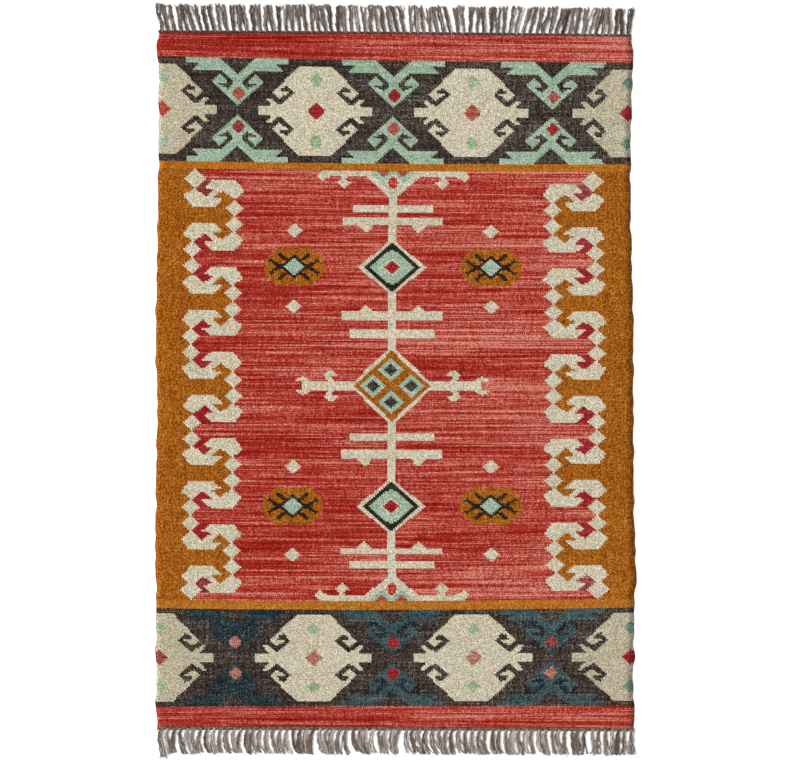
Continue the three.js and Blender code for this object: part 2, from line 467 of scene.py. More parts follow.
# where yarns meet between two rows, a point rises and one dips by this share of a row
TOOTH = 0.125
# the share of a column by which a change of yarn steps to and fro from row to row
JOG = 0.08
JOG_FREE = 2
# from the arris down to the floor: outwards as a share of the rounding, height as a share
RIM = ((0.62, 0.90), (0.95, 0.66), (1.0, 0.40), (0.8, 0.12))
# columns and rows past the edge for each step down the rim
RIM_PAST = 0.2
# how the faces lie in the OFBake UV map: the upper one, the back and the rim's steps
BAKE_SPAN = 1.82
BAKE_TOP = 0.347
BAKE_BACK = 0.85
BAKE_BACK_SCALE = 0.228
RIM_STEP = 0.00115
# how the weft pulls the selvedges in and lets them out: wavelength and depth in metres
PULLS = ((0.067, 0.0009), (0.043, 0.0006), (0.109, 0.0009))
PULL_START = 2.1
PULLED_COLUMNS = 8.0
ROLL_COLUMNS = 1.8
END_FALL_ROWS = 1.6
END_FALL = 0.0005
# a corner of the cloth never gets thinner than this
LEAST_HEIGHT = 0.001


def row_breaks(row):
    """The columns at which a row's faces part: changes of yarn, and a few steady ones."""
    changes = np.flatnonzero(np.diff(row)) + 1.0
    steady = np.arange(0.0, COLUMNS, STEADY_BREAK)
    sides = np.array(SIDE_BREAKS)
    return np.unique(np.concatenate((changes, steady, sides, COLUMNS - sides, [COLUMNS])))


def cloth_lines(yarn, toothed):
    """The points of each line between two rows: column, column with its jog, and row."""
    breaks = [row_breaks(row) for row in yarn]
    changes = [np.zeros(0)] * (ROWS + 1)
    if toothed:
        changes[1:ROWS] = [np.flatnonzero(above != below)
                           for above, below in zip(yarn, yarn[1:])]
    lines = []
    for line in range(ROWS + 1):
        if line in (0, ROWS):
            columns = breaks[min(line, ROWS - 1)]
            lines.append((columns, columns, np.full(len(columns), float(line))))
            continue
        peaks = changes[line] + 0.25
        dips = changes[line] + 0.75
        columns = np.unique(np.concatenate((
            breaks[line - 1], breaks[line], peaks, dips, changes[line - 1] + 0.5,
            changes[line + 1] + 0.5)))
        rows = line + TOOTH * (np.isin(columns, dips) * 1.0 - np.isin(columns, peaks))
        inner = (columns > JOG_FREE) & (columns < COLUMNS - JOG_FREE)
        jog = JOG if line % 2 else -JOG
        jogged = columns + np.where((columns % 1 == 0) & inner, jog, 0.0)
        lines.append((columns, jogged, rows))
    return lines


def cloth_surface(column, row, thickness, roll):
    """Where a point of the upper face lies."""
    along = np.interp(row, ROW_ENDS, LENGTH_ENDS)
    along = EDGE_ROUNDING + along * (1 - 2 * EDGE_ROUNDING / CLOTH_LENGTH)
    across = column / COLUMNS * 2 - 1
    x, y = cloth_place(across, along)
    x = x - EDGE_ROUNDING * across
    from_side = np.minimum(column, COLUMNS - column)
    from_end = np.minimum(row, ROWS - row)
    pulled = np.clip(1 - from_side / PULLED_COLUMNS, 0, 1) ** 2
    side = np.sign(across)
    for length, depth in PULLS:
        swing = np.sin(math.tau * along / length + PULL_START * side)
        x = x + side * pulled * depth * swing
    fall = roll * np.clip(1 - from_side / ROLL_COLUMNS, 0, 1) ** 2
    fall = fall + END_FALL * np.clip(1 - from_end / END_FALL_ROWS, 0, 1) ** 2
    z = np.maximum(thickness + cockle(x, y) + ripple(x, y) - fall, LEAST_HEIGHT)
    return x + SHIFT_X, y + SHIFT_Y, z


def stitched(upper, lower, first_upper, first_lower):
    """The faces between two lines of points, and the column at which each face starts."""
    faces = []
    starts = []
    shared = np.intersect1d(upper, lower)
    upper_ends = np.searchsorted(upper, shared).tolist()
    lower_ends = np.searchsorted(lower, shared).tolist()
    i = 0
    j = 0
    for start, end_i, end_j in zip(shared.astype(int).tolist(), upper_ends[1:], lower_ends[1:]):
        while i < end_i or j < end_j:
            last = end_i - i == 1 and end_j - j == 1
            # the shorter of the two diagonals parts the faces
            up = i < end_i and (j == end_j or upper[i + 1] - lower[j] <= lower[j + 1] - upper[i])
            face = [first_upper + i, first_lower + j]
            if last or not up:
                j += 1
                face.append(first_lower + j)
            if last or up:
                i += 1
                face.append(first_upper + i)
            faces.append(face)
            starts.append(start)
    return faces, starts


class ClothSide:
    """One face of the cloth as columns and rows of the weave: its points and its faces."""

    def __init__(self, yarn, bobbin, toothed):
        lines = cloth_lines(yarn, toothed)
        self.first = np.cumsum([0] + [len(columns) for columns, _, _ in lines]).tolist()
        self.column = np.concatenate([jogged for _, jogged, _ in lines])
        self.row = np.concatenate([rows for _, _, rows in lines])
        self.faces = []
        face_yarn = []
        face_bobbin = []
        for line in range(ROWS):
            made, starts = stitched(lines[line][0], lines[line + 1][0],
                                    self.first[line], self.first[line + 1])
            self.faces += made
            face_yarn.append(yarn[line, starts])
            face_bobbin.append(bobbin[line, starts])
        self.yarn = np.concatenate(face_yarn)
        self.bobbin = np.concatenate(face_bobbin)

    def rim(self):
        """The points round its edge, clockwise as seen from above, from the far left corner."""
        first = self.first
        top_line = range(first[1])
        right = [first[line + 1] - 1 for line in range(1, ROWS)]
        bottom_line = range(len(self.column) - 1, first[ROWS] - 1, -1)
        left = [first[line] for line in range(ROWS - 1, 0, -1)]
        return np.array([*top_line, *right, *bottom_line, *left])


def cloth_mesh(yarn, thickness, roll):
    """One closed mesh: both faces of the cloth and its rounded rim."""
    bobbin = bobbins_of(yarn)
    top = ClothSide(yarn, bobbin, True)
    back = ClothSide(yarn, bobbin, False)
    x, y, z = cloth_surface(top.column, top.row, thickness, roll)
    back_x, back_y, _ = cloth_surface(back.column, back.row, thickness, roll)
    count = len(x)
    back_faces = [[corner + count for corner in reversed(face)] for face in back.faces]

    loop = top.rim()
    column, row, edge_x, edge_y = top.column[loop], top.row[loop], x[loop], y[loop]
    out_x = np.where(column <= 0, -1.0, np.where(column >= COLUMNS, 1.0, 0.0))
    out_y = np.where(row <= 0, 1.0, np.where(row >= ROWS, -1.0, 0.0))
    points = [(x, y, z), (back_x, back_y, 0 * back_x)]
    weave = [(top.column, top.row, 0 * top.row), (back.column, back.row, 0 * back.row)]
    rings = [loop]
    for step, (out, share) in enumerate(RIM):
        out = out * EDGE_ROUNDING
        past = RIM_PAST * (step + 1)
        points.append((edge_x + out * out_x, edge_y + out * out_y, z[loop] * share))
        weave.append((column + past * out_x, row - past * out_y, 0 * out_x))
        rings.append(count + len(back_x) + step * len(loop) + np.arange(len(loop)))
    rings.append(back.rim() + count)

    beside = (np.clip(row.astype(int), 0, ROWS - 1), np.clip(column.astype(int), 0, COLUMNS - 1))
    base = np.stack((0.5 + edge_y / BAKE_SPAN, BAKE_TOP + edge_x / BAKE_SPAN), 1)
    away = np.stack((out_y, out_x), 1)
    following = np.roll(np.arange(len(loop)), -1)
    rim = []
    rim_uv = []
    for step, (upper, lower) in enumerate(zip(rings, rings[1:])):
        near = base + away * RIM_STEP * step
        far = base + away * RIM_STEP * (step + 1)
        rim += np.stack((upper, upper[following], lower[following], lower), 1).tolist()
        rim_uv.append(np.stack((near, near[following], far[following], far), 1))
    sides = len(rings) - 1
    materials = np.concatenate([top.yarn, back.yarn] + [yarn[beside]] * sides)
    bobbins = np.concatenate([top.bobbin, back.bobbin] + [bobbin[beside]] * sides)

    mesh = new_mesh("kilim_cloth", np.concatenate([np.stack(part, 1) for part in points]),
                    top.faces + back_faces + rim,
                    weave=np.concatenate([np.stack(part, 1) for part in weave]))
    mesh.polygons.foreach_set("material_index", materials.astype(np.int32))
    attribute = mesh.attributes.new("bobbin", "FLOAT", "FACE")
    attribute.data.foreach_set("value", bobbins.astype(np.float32))
    top_uv = np.stack((0.5 + y / BAKE_SPAN, BAKE_TOP + x / BAKE_SPAN), 1)
    back_uv = np.stack((0.5 + back_y / BAKE_SPAN, BAKE_BACK + back_x * BAKE_BACK_SCALE), 1)
    uv = np.concatenate((top_uv[np.concatenate(top.faces)],
                         back_uv[np.concatenate(back_faces) - count],
                         np.concatenate(rim_uv).reshape(-1, 2)))
    layer = mesh.uv_layers.new(name="OFBake")
    layer.uv.foreach_set("vector", uv.astype(np.float32).ravel())
    return mesh


# ---- the headings and the fringe
# Each end of the rug, in metres: its heading, and how its locks lie and their strands stray.
# In lay, along the end from the left: the locks' lean to the right at the tip, and their belly.
FAR_END = SimpleNamespace(
    name="far", along=0.0, outward=1, seed=17, heading_width=0.0075, band=0.0060,
    lock_length=0.065, corner_extra=0.0, hook=0.0, root=0.0052, splay=1.0, spread=2.6,
    lean_spread=0.0028, wild_share=0.15, wild_lean=0.008,
    lay=np.array([
        (0.0, -0.013, -0.001), (0.3, -0.007, -0.001), (0.62, -0.009, 0.0), (0.7, 0.006, 0.0),
        (0.82, 0.019, 0.001), (0.93, 0.014, 0.001), (1.0, 0.006, 0.0)]))
NEAR_END = SimpleNamespace(
    name="near", along=CLOTH_LENGTH, outward=-1, seed=31, heading_width=0.0105, band=0.0090,
    lock_length=0.058, corner_extra=0.011, hook=0.0045, root=0.0044, splay=1.05, spread=1.3,
    lean_spread=0.0042, wild_share=0.32, wild_lean=0.009,
    lay=np.array([
        (0.0, 0.004, -0.001), (0.06, 0.005, -0.006), (0.45, 0.007, -0.006),
        (0.8, 0.009, -0.004), (0.93, 0.003, -0.001), (1.0, -0.001, 0.0)]))
HEADING_THICKNESS = 0.0036
HEADING_STEPS = 944
HEADING_LINES = 8
# shares of a heading's height: its ground, the round of its cords, their beads, and its edges
HEADING_GROUND = 0.5
HEADING_ROUND = 0.28
HEADING_BEAD = 0.22
HEADING_EDGE = 0.3


def heading_mesh(end):
    """A narrow twined band that closes an end of the cloth: a closed relief strip."""
    across = np.linspace(-1, 1, HEADING_STEPS + 1)
    edge_x, edge_y = cloth_place(across, end.along, sway=False)
    share = np.linspace(-0.5, 0.5, HEADING_LINES + 1)
    cord = (share + 0.5) * 2 % 1
    slant = np.where(share < 0, 1.0, -1.0)
    warp = across[:, None] * COLUMNS / 2
    bead = np.abs(np.sin(math.pi * (warp + slant[None, :] * cord[None, :])))
    arch = np.sqrt(np.clip(1 - (2 * cord - 1) ** 2, 0, 1))
    height = HEADING_THICKNESS * (HEADING_GROUND + HEADING_ROUND * arch + HEADING_BEAD * bead)
    height[:, [0, -1]] = HEADING_THICKNESS * HEADING_EDGE
    y = edge_y[:, None] + end.outward * (SLIT + (0.5 + share[None, :]) * end.band)
    x = np.broadcast_to(edge_x[:, None], y.shape)
    top = np.stack((x + SHIFT_X, y + SHIFT_Y, height), 2).reshape(-1, 3)
    low = top * (1, 1, 0)
    count = len(top)
    at = np.arange(count).reshape(height.shape)
    upper = np.stack((at[:-1, :-1], at[1:, :-1], at[1:, 1:], at[:-1, 1:]), 2).reshape(-1, 4)
    loop = np.concatenate((at[:, 0], at[-1, 1:], at[-2::-1, -1], at[0, -2:0:-1]))
    if end.outward < 0:
        upper = upper[:, ::-1]
        loop = loop[::-1]
    lower = upper[:, ::-1] + count
    after = np.roll(loop, -1)
    wall = np.stack((after, loop, loop + count, after + count), 1)
    faces = np.concatenate((upper, lower, wall))
    twine = np.stack((np.broadcast_to(warp, y.shape),
                      np.broadcast_to(share[None, :] * 2, y.shape), 0 * y), 2).reshape(-1, 3)
    return new_mesh(end.name + "_heading", np.concatenate((top, low)), faces.tolist(),
                    weave=np.tile(twine, (2, 1)))


class Strands:
    """Gathers the tubes of one fringe before they become one mesh."""

    def __init__(self):
        self.points = []
        self.faces = []
        self.twist = []
        self.count = 0

    def tube(self, line, radius, sides, tone):
        """A closed tube round a line of points, lying nearly level."""
        along = np.gradient(line, axis=0)
        along /= np.linalg.norm(along, axis=1)[:, None]
        sideways = np.cross(along, (0.0, 0.0, 1.0))
        sideways /= np.linalg.norm(sideways, axis=1)[:, None]
        upwards = np.cross(sideways, along)
        angle = np.arange(sides) * math.tau / sides
        ring = (line[:, None, :] + radius[:, None, None] * (
            np.cos(angle)[None, :, None] * sideways[:, None, :]
            + np.sin(angle)[None, :, None] * upwards[:, None, :]))
        steps = len(line)
        ring[:, :, 2] = np.maximum(ring[:, :, 2], 0.0)
        length = np.concatenate(([0], np.cumsum(np.linalg.norm(np.diff(line, axis=0), axis=1))))
        twist = np.empty((steps, sides, 3))
        twist[:, :, 0] = length[:, None]
        twist[:, :, 1] = angle[None, :] / math.tau
        twist[:, :, 2] = tone
        at = self.count + np.arange(steps * sides).reshape(steps, sides)
        beside = np.roll(at, -1, axis=1)
        walls = np.stack((at[:-1], beside[:-1], beside[1:], at[1:]), 2).reshape(-1, 4)
        self.points.append(ring.reshape(-1, 3))
        self.twist.append(twist.reshape(-1, 3))
        self.faces += walls[:, ::-1].tolist()
        self.faces.append(at[0].tolist())
        self.faces.append(at[-1, ::-1].tolist())
        self.count += steps * sides

    def mesh(self, name):
        """All the tubes as one mesh."""
        return new_mesh(name, np.concatenate(self.points), self.faces,
                        twist=np.concatenate(self.twist))


LOCK_COUNT = 72
# how far a lock starts under its heading, and how its length varies
LOCK_SINK = 0.004
LENGTH_SPREAD = 0.0024
# the part of a lock over which its root hooks aside
HOOK_REACH = 0.25
# how many locks may tangle, how far they are drawn together, and how far the tangle strays
MOST_GATHERED = 4
GATHERING = (0.1, 0.5)
TANGLE_STRAY = 0.0016
# the length of an end, shared out between its locks
END_SPAN = 1.22


def lock_route(end, lock, at):
    """The middle of a lock on the floor, from under the heading to its tip."""
    across = (lock + 0.5) / LOCK_COUNT * 2 - 1
    root_x, root_y = cloth_place(across, end.along, sway=False)
    lean, belly = eased(end.lay, (across + 1) / 2)
    corner = end.corner_extra if lock == 0 else 0.0
    length = end.lock_length + LENGTH_SPREAD * stray(lock, end.seed + 1) + corner
    lean = lean + end.lean_spread * stray(lock, end.seed + 2)
    start = SLIT + end.band - LOCK_SINK
    reach = LOCK_SINK + length + end.heading_width - end.band
    x = root_x + lean * at + belly * 4 * at * (1 - at)
    x = x + end.hook * np.clip(1 - at / HOOK_REACH, 0, 1) ** 2
    y = root_y + end.outward * (start + at * reach)
    return x + SHIFT_X, y + SHIFT_Y


def gathered_locks(end, chance):
    """How far each lock's tip is drawn towards the locks that it tangles with."""
    pull = np.zeros(LOCK_COUNT)
    lock = 0
    while lock < LOCK_COUNT:
        members = np.arange(lock, min(lock + chance.integers(1, MOST_GATHERED + 1), LOCK_COUNT))
        draw = chance.uniform(*GATHERING) * END_SPAN / LOCK_COUNT
        pull[members] = (members.mean() - members) * draw + chance.normal(0, TANGLE_STRAY)
        lock = int(members[-1]) + 1
    return pull


# radii, heights and swings in metres; turns and reaches as shares of a lock's length
STRAND_STEPS = 30
STRAND_SIDES = 5
STRAND_RADIUS = 0.00132
TIP_RADIUS = 0.00095
OPENING = (0.8, 1.2)
BEND = 0.0011
REACH = (0.95, 1.03)
WAIST = 0.3
WAIST_LENGTH = 0.13
SLOT_STRAY = 0.3
COIL = 0.18
COIL_TURNS = 0.55
COIL_RISE = 0.0003
WAVE = (0.0004, 0.0015)
WAVE_TURNS = (1.4, 3.4)
CRINKLE = 0.00055
CRINKLE_TURNS = (4.5, 7.5)
PILE_HEIGHT = 0.0019
PULL_POWER = 1.4
LOCK_TONE = 0.3
HAIRS = 4
HAIR_STEPS = 10
HAIR_SIDES = 3
HAIR_RADIUS = 0.00035
HAIR_START = (0.25, 0.8)
HAIR_LENGTH = (0.2, 0.5)
HAIR_END = 1.08
HAIR_STRAY = 0.004
HAIR_CURL = 0.4
HAIR_HEIGHT = (0.0008, 0.0026)


def fringe_mesh(end, strands, splay):
    """The locks of one end: flat tails of loosely wavy strands that open towards their tips."""
    chance = np.random.default_rng(end.seed)
    gathered = Strands()
    at = np.linspace(0, 1, STRAND_STEPS + 1)
    pull = gathered_locks(end, chance)
    for lock in range(LOCK_COUNT):
        opening = splay * end.splay * chance.uniform(*OPENING)
        bend = chance.normal(0, BEND)
        hand = chance.uniform(0, math.tau)
        own_tone = chance.random()
        order = chance.permutation(strands)
        for strand in range(strands):
            way = at * chance.uniform(*REACH)
            wild = end.wild_lean * chance.normal() * (chance.random() < end.wild_share)
            x, y = lock_route(end, lock, way)
            x = x + pull[lock] * way ** PULL_POWER + bend * np.sin(math.tau * way)
            x = x + wild * way ** 2
            half = end.root + (opening - end.root) * way ** end.spread
            half = half * (1 - WAIST * np.exp(-(way / WAIST_LENGTH) ** 2))
            slot = (strand + 0.5 + chance.uniform(-SLOT_STRAY, SLOT_STRAY)) / strands * 2 - 1
            turn = hand + math.tau * (strand / strands + COIL_TURNS * way)
            side = half * ((1 - COIL) * slot + COIL * np.cos(turn))
            swing = chance.uniform(*WAVE) * np.minimum(1, way * 3)
            turns = way * chance.uniform(*WAVE_TURNS) + chance.random()
            side = side + swing * np.sin(math.tau * turns)
            turns = way * chance.uniform(*CRINKLE_TURNS) + chance.random()
            side = side + CRINKLE * np.sin(math.tau * turns)
            radius = STRAND_RADIUS + (TIP_RADIUS - STRAND_RADIUS) * way ** 3
            lift = PILE_HEIGHT * (order[strand] / strands) * (1 - 0.5 * way)
            lift = lift + COIL_RISE * (1 + np.sin(turn))
            tone = LOCK_TONE * own_tone + (1 - LOCK_TONE) * chance.random()
            line = np.stack((x + side, y, radius + lift), 1)
            gathered.tube(line, radius, STRAND_SIDES, tone)
        for _ in range(HAIRS):
            start = chance.uniform(*HAIR_START)
            stop = min(start + chance.uniform(*HAIR_LENGTH), HAIR_END)
            way = np.linspace(start, stop, HAIR_STEPS)
            x, y = lock_route(end, lock, way)
            side = chance.uniform(-1, 1) * opening * start
            side = side + chance.normal(0, HAIR_STRAY) * ((way - start) / HAIR_CURL) ** 1.5
            z = np.full(HAIR_STEPS, chance.uniform(*HAIR_HEIGHT))
            line = np.stack((x + pull[lock] * way ** PULL_POWER + side, y, z), 1)
            gathered.tube(line, np.full(HAIR_STEPS, HAIR_RADIUS), HAIR_SIDES, chance.random())
    return gathered.mesh(end.name + "_locks")


# ---- shader groups
class Signal:
    """A value that changes over a surface; arithmetic on it adds math nodes to its tree."""

    def __init__(self, wiring, socket):
        self.wiring = wiring
        self.socket = socket

    def __add__(self, other):
        return self.wiring.math("ADD", self, other)

    def __sub__(self, other):
        return self.wiring.math("SUBTRACT", self, other)

    def __rsub__(self, other):
        return self.wiring.math("SUBTRACT", other, self)

    def __mul__(self, other):
        return self.wiring.math("MULTIPLY", self, other)

    __radd__ = __add__
    __rmul__ = __mul__


class Wiring:
    """Adds nodes to one node tree and joins them."""

    def __init__(self, tree):
        self.tree = tree

    def feed(self, socket, value):
        """Links a signal to a socket, or sets the socket to a plain value."""
        if isinstance(value, Signal):
            self.tree.links.new(value.socket, socket)
        else:
            socket.default_value = value

    def feed_all(self, sockets, **values):
        """Feeds sockets by name; a name's _ stands for a space."""
        for label, value in values.items():
            self.feed(sockets[label.replace("_", " ")], value)

    def node(self, kind, inputs=(), output=0, **settings):
        """Adds a node, feeds its inputs by name or in their order, and gives one output."""
        made = self.tree.nodes.new(kind)
        for name, value in settings.items():
            setattr(made, name, value)
        for name, value in inputs.items() if isinstance(inputs, dict) else enumerate(inputs):
            self.feed(made.inputs[name], value)
        return Signal(self, made.outputs[output])

    def group(self, name, **values):
        """Places a shared shader group, feeds it, and gives its outputs by name."""
        made = self.tree.nodes.new("ShaderNodeGroup")
        made.node_tree = shader_group(name)
        self.feed_all(made.inputs, **values)
        return {socket.name: Signal(self, socket) for socket in made.outputs}

    def math(self, operation, *values):
        return self.node("ShaderNodeMath", values, operation=operation)

    def between(self, value, low, high, to_low=0.0, to_high=1.0):
        """A value from low to high, brought to the range from to_low to to_high."""
        return self.node("ShaderNodeMapRange", (value, low, high, to_low, to_high))

    def vector(self, x, y, z=0.0):
        return self.node("ShaderNodeCombineXYZ", (x, y, z))

    def parts(self, vector):
        """The X, Y and Z of a vector."""
        node = self.node("ShaderNodeSeparateXYZ", (vector,)).socket.node
        return [Signal(self, socket) for socket in node.outputs]

    def attribute(self, name, output="Vector"):
        """What the mesh code wrote on the points or faces under that name."""
        return self.node("ShaderNodeAttribute", (), output, attribute_name=name)

    def noise(self, vector, scale=1.0, detail=2.0, roughness=0.5):
        inputs = {"Vector": vector, "Scale": scale, "Detail": detail, "Roughness": roughness}
        return self.node("ShaderNodeTexNoise", inputs, "Fac")

    def chance(self, vector):
        """An even chance from 0 to 1 for each place."""
        inputs = {"Vector": vector}
        return self.node("ShaderNodeTexWhiteNoise", inputs, "Value", noise_dimensions="3D")

    def gamma(self, colour, power):
        return self.node("ShaderNodeGamma", {"Color": colour, "Gamma": power})

    def blend(self, share, first, second, blend_type="MIX"):
        inputs = {"Factor": share, "A": first, "B": second}
        return self.node("ShaderNodeMix", inputs, "Result", data_type="RGBA",
                         blend_type=blend_type)

    def bump(self, height, distance, strength=1.0):
        inputs = {"Height": height, "Distance": distance, "Strength": strength}
        return self.node("ShaderNodeBump", inputs)


def open_group(name, inputs, outputs):
    """An empty shader group: its wiring, the signals it is given and the sockets it fills."""
    tree = bpy.data.node_groups.new(name, "ShaderNodeTree")
    for label, kind in inputs.items():
        tree.interface.new_socket(label, in_out="INPUT", socket_type=kind)
    for label, kind in outputs.items():
        tree.interface.new_socket(label, in_out="OUTPUT", socket_type=kind)
    wiring = Wiring(tree)
    start = tree.nodes.new("NodeGroupInput")
    given = {label: Signal(wiring, start.outputs[label]) for label in inputs}
    return wiring, given, tree.nodes.new("NodeGroupOutput").inputs


NUMBER = "NodeSocketFloat"
COLOUR = "NodeSocketColor"
VECTOR = "NodeSocketVector"

# beads of weft in a column and in a row of the chart
BEADS = 2.0
# how far a bead falls away across and along the rug, as a share of its height
BEAD_FALL = (0.3, 0.9)
# painted light and shade at the selvedges: the left one is painted lighter, where its rolled edge
# turns towards the key light, and the right one darker, where it turns away into shade
LEFT_PAINTED_LIGHT = 1.12
RIGHT_PAINTED_SHADE = 0.62
# the columns over which that painted light and shade fades, counted from each selvedge
LEFT_LIGHT_FADE = (0.0, 3.0)
RIGHT_SHADE_FADE = (3.4, 1.2)


def weave_beads_group():
    """The weft's beads over the warps.

    Gives each bead's height, pick, column and chance, and the painted light and shade at the
    selvedges.
    """
    wiring, given, result = open_group(
        "weave beads", {"Weave": VECTOR},
        {"Height": NUMBER, "Pick": NUMBER, "Column": NUMBER, "Chance": NUMBER,
         "Selvedge": NUMBER})
    column, row, _ = wiring.parts(given["Weave"])
    warps = column * BEADS
    warp = wiring.math("FLOOR", warps)
    odd = wiring.math("FLOORED_MODULO", warp, 2.0)
    # the beads of odd warps lie half a bead lower than those of even warps
    beats = row * BEADS + (odd * -0.5 + 0.25)
    beat = wiring.math("FLOOR", beats)
    across = (warps - warp) * 2.0 - 1.0
    along = (beats - beat) * 2.0 - 1.0
    fall = across * across * BEAD_FALL[0] + along * along * BEAD_FALL[1]
    # painted light along the left selvedge and painted shade along the right one
    left = wiring.between(column, *LEFT_LIGHT_FADE, LEFT_PAINTED_LIGHT, 1.0)
    right = wiring.between(column, *(COLUMNS - inwards for inwards in RIGHT_SHADE_FADE), 1.0,
                           RIGHT_PAINTED_SHADE)
    wiring.feed_all(result, Height=1.0 - fall, Pick=beat * 2.0 + odd, Column=column,
                    Chance=wiring.chance(wiring.vector(warp, beat, 0.5)), Selvedge=left * right)
    return wiring.tree


# how much lighter the dye gets from the left side to the right
TREND = 0.05
# how fast the tone wanders along a shot, for each column
PLACE = 0.02
BOBBIN_STEP = 37.0
DEEPEST_POWER = 0.35


def dyed_wool_group():
    """Hand-dyed wool: the tone wanders from pick to pick, from warp to warp and bead to bead."""
    wiring, given, result = open_group(
        "dyed wool",
        {"Colour": COLOUR, "Palest": COLOUR, "Column": NUMBER, "Pick": NUMBER,
         "Bobbin": NUMBER, "Chance": NUMBER, "Streaks": NUMBER, "Grain": NUMBER,
         "Fading": NUMBER},
        {"Colour": COLOUR, "Tone": NUMBER})
    column, pick = given["Column"], given["Pick"]
    place = column * PLACE
    own = given["Bobbin"] * BOBBIN_STEP

    def drift(count, stretch, step, layer, detail, weight):
        """A slow change of tone along a shot, with a new level for each count."""
        level = wiring.vector(place * stretch, count * step + own, layer)
        return (wiring.noise(level, detail=detail) - 0.5) * weight

    pair = wiring.math("FLOOR", pick * 0.5)
    streak = (place - 0.5 * COLUMNS * PLACE) * TREND
    streak += drift(pair, stretch=1.0, step=1.37, layer=1.5, detail=2.0, weight=2.2)
    streak += drift(pick, stretch=1.3, step=1.63, layer=5.5, detail=1.0, weight=0.9)
    streak += drift(pair, stretch=0.6, step=0.21, layer=7.5, detail=1.0, weight=0.6)
    streak += drift(pair, stretch=0.35, step=0.035, layer=3.5, detail=0.0, weight=0.5)
    rib = wiring.noise(wiring.vector(column * 1.87, pick * 0.03, 9.5), detail=1.0)
    grain = (rib - 0.5) * 1.6 + (given["Chance"] - 0.5) * 1.4
    tone = grain * given["Grain"] + streak * given["Streaks"]
    # from deep to light the colour's power falls, which keeps its hue as real dye does
    power = wiring.math("MAXIMUM", 1.0 - tone, DEEPEST_POWER)
    toned = wiring.gamma(given["Colour"], power)
    faded = wiring.between(tone, 0.1, 0.7) * given["Fading"]
    wiring.feed_all(result, Colour=wiring.blend(faded, toned, given["Palest"]), Tone=tone + 0.5)
    return wiring.tree


def wool_fuzz_group():
    """Loose fibres over any yarn: a fine height, a fine pale haze and a wider mottle."""
    wiring, given, result = open_group(
        "wool fuzz", {"Size": NUMBER}, {"Height": NUMBER, "Haze": NUMBER, "Mottle": NUMBER})
    place = wiring.node("ShaderNodeTexCoord", (), "Object")
    place = wiring.node("ShaderNodeVectorMath", {0: place, "Scale": given["Size"]},
                        operation="SCALE")
    fine = wiring.noise(place, 1.0, 3.0, 0.6)
    wide = wiring.noise(place, 0.13, 2.0, 0.6)
    haze = wiring.between(wide, 0.42, 0.75) * wiring.between(fine, 0.4, 0.7)
    wiring.feed_all(result, Height=fine, Haze=haze, Mottle=wiring.noise(place, 0.31, 1.0) - 0.5)
    return wiring.tree


def plied_yarn_group():
    """The turns of a plied yarn: their height, and a tone for each yarn."""
    wiring, given, result = open_group(
        "plied yarn", {"Twist": VECTOR, "Turns per Metre": NUMBER},
        {"Height": NUMBER, "Tone": NUMBER})
    length, round_it, own = wiring.parts(given["Twist"])
    turned = length * given["Turns per Metre"] + round_it * 2.0
    curve = wiring.math("ABSOLUTE", wiring.math("FRACT", turned) * 2.0 - 1.0)
    drift = wiring.noise(wiring.vector(length * 30.0, own * 57.0))
    wiring.feed_all(result, Height=1.0 - wiring.math("POWER", curve, 2.2),
                    Tone=own * 0.65 + drift * 0.4)
    return wiring.tree


GROUP_MAKERS = {
    "weave beads": weave_beads_group, "dyed wool": dyed_wool_group,
    "wool fuzz": wool_fuzz_group, "plied yarn": plied_yarn_group,
}


def shader_group(name):
    """The shared group of that name, made the first time that it is wanted."""
    return bpy.data.node_groups.get(name) or GROUP_MAKERS[name]()


# ---- materials
# for each yarn: its streaks, its grain, how far its palest shots fade, and towards what
YARN_WAYS = {
    "red": (1.15, 0.35, 0.74, "blush"), "cream": (0.25, 0.42, 0.3, "oat"),
    "charcoal": (0.35, 0.4, 0.15, "oat"), "mint": (0.4, 0.25, 0.2, "cream"),
    "ochre": (0.12, 0.4, 0.2, "amber"), "navy": (0.35, 0.3, 0.1, "oat"),
    "slate": (0.25, 0.3, 0.1, "oat"), "ink": (0.4, 0.5, 0.1, "slate"),
    "sage": (0.4, 0.25, 0.2, "cream"), "teal": (0.4, 0.25, 0.2, "mint"),
    "black_brown": (0.3, 0.2, 0.0, "ochre"), "crimson": (0.4, 0.2, 0.1, "salmon"),
    "coral": (0.5, 0.3, 0.3, "salmon"), "rose": (0.5, 0.3, 0.3, "salmon"),
    "salmon": (0.5, 0.3, 0.2, "cream"), "oat": (0.3, 0.3, 0.3, "cream"),
    "amber": (0.2, 0.25, 0.1, "ochre"),
}
# painted shade and light on the beads: how dark a bead is painted in its groove, where shade
# falls, and how bright on its crown, where light falls
GROOVE_PAINTED_SHADE = 0.12
CROWN_PAINTED_LIGHT = 1.36
MATT = 0.95
# the pale dust in the wool, as linear colours
CLOTH_HAZE = (0.55, 0.45, 0.36, 1.0)
HEADING_HAZE = (0.5, 0.42, 0.35, 1.0)
FRINGE_HAZE = (0.7, 0.64, 0.58, 1.0)


def open_material(name, sheen):
    """A material with a bare Principled shader set for matt wool."""
    material = bpy.data.materials.new(name)
    material.use_nodes = True
    shader = material.node_tree.nodes["Principled BSDF"]
    shader.inputs["Specular IOR Level"].default_value = 0.05
    shader.inputs["Sheen Weight"].default_value = sheen
    shader.inputs["Sheen Roughness"].default_value = 0.55
    return material, Wiring(material.node_tree), shader.inputs


def opaque(colour):
    return (*colour, 1.0)


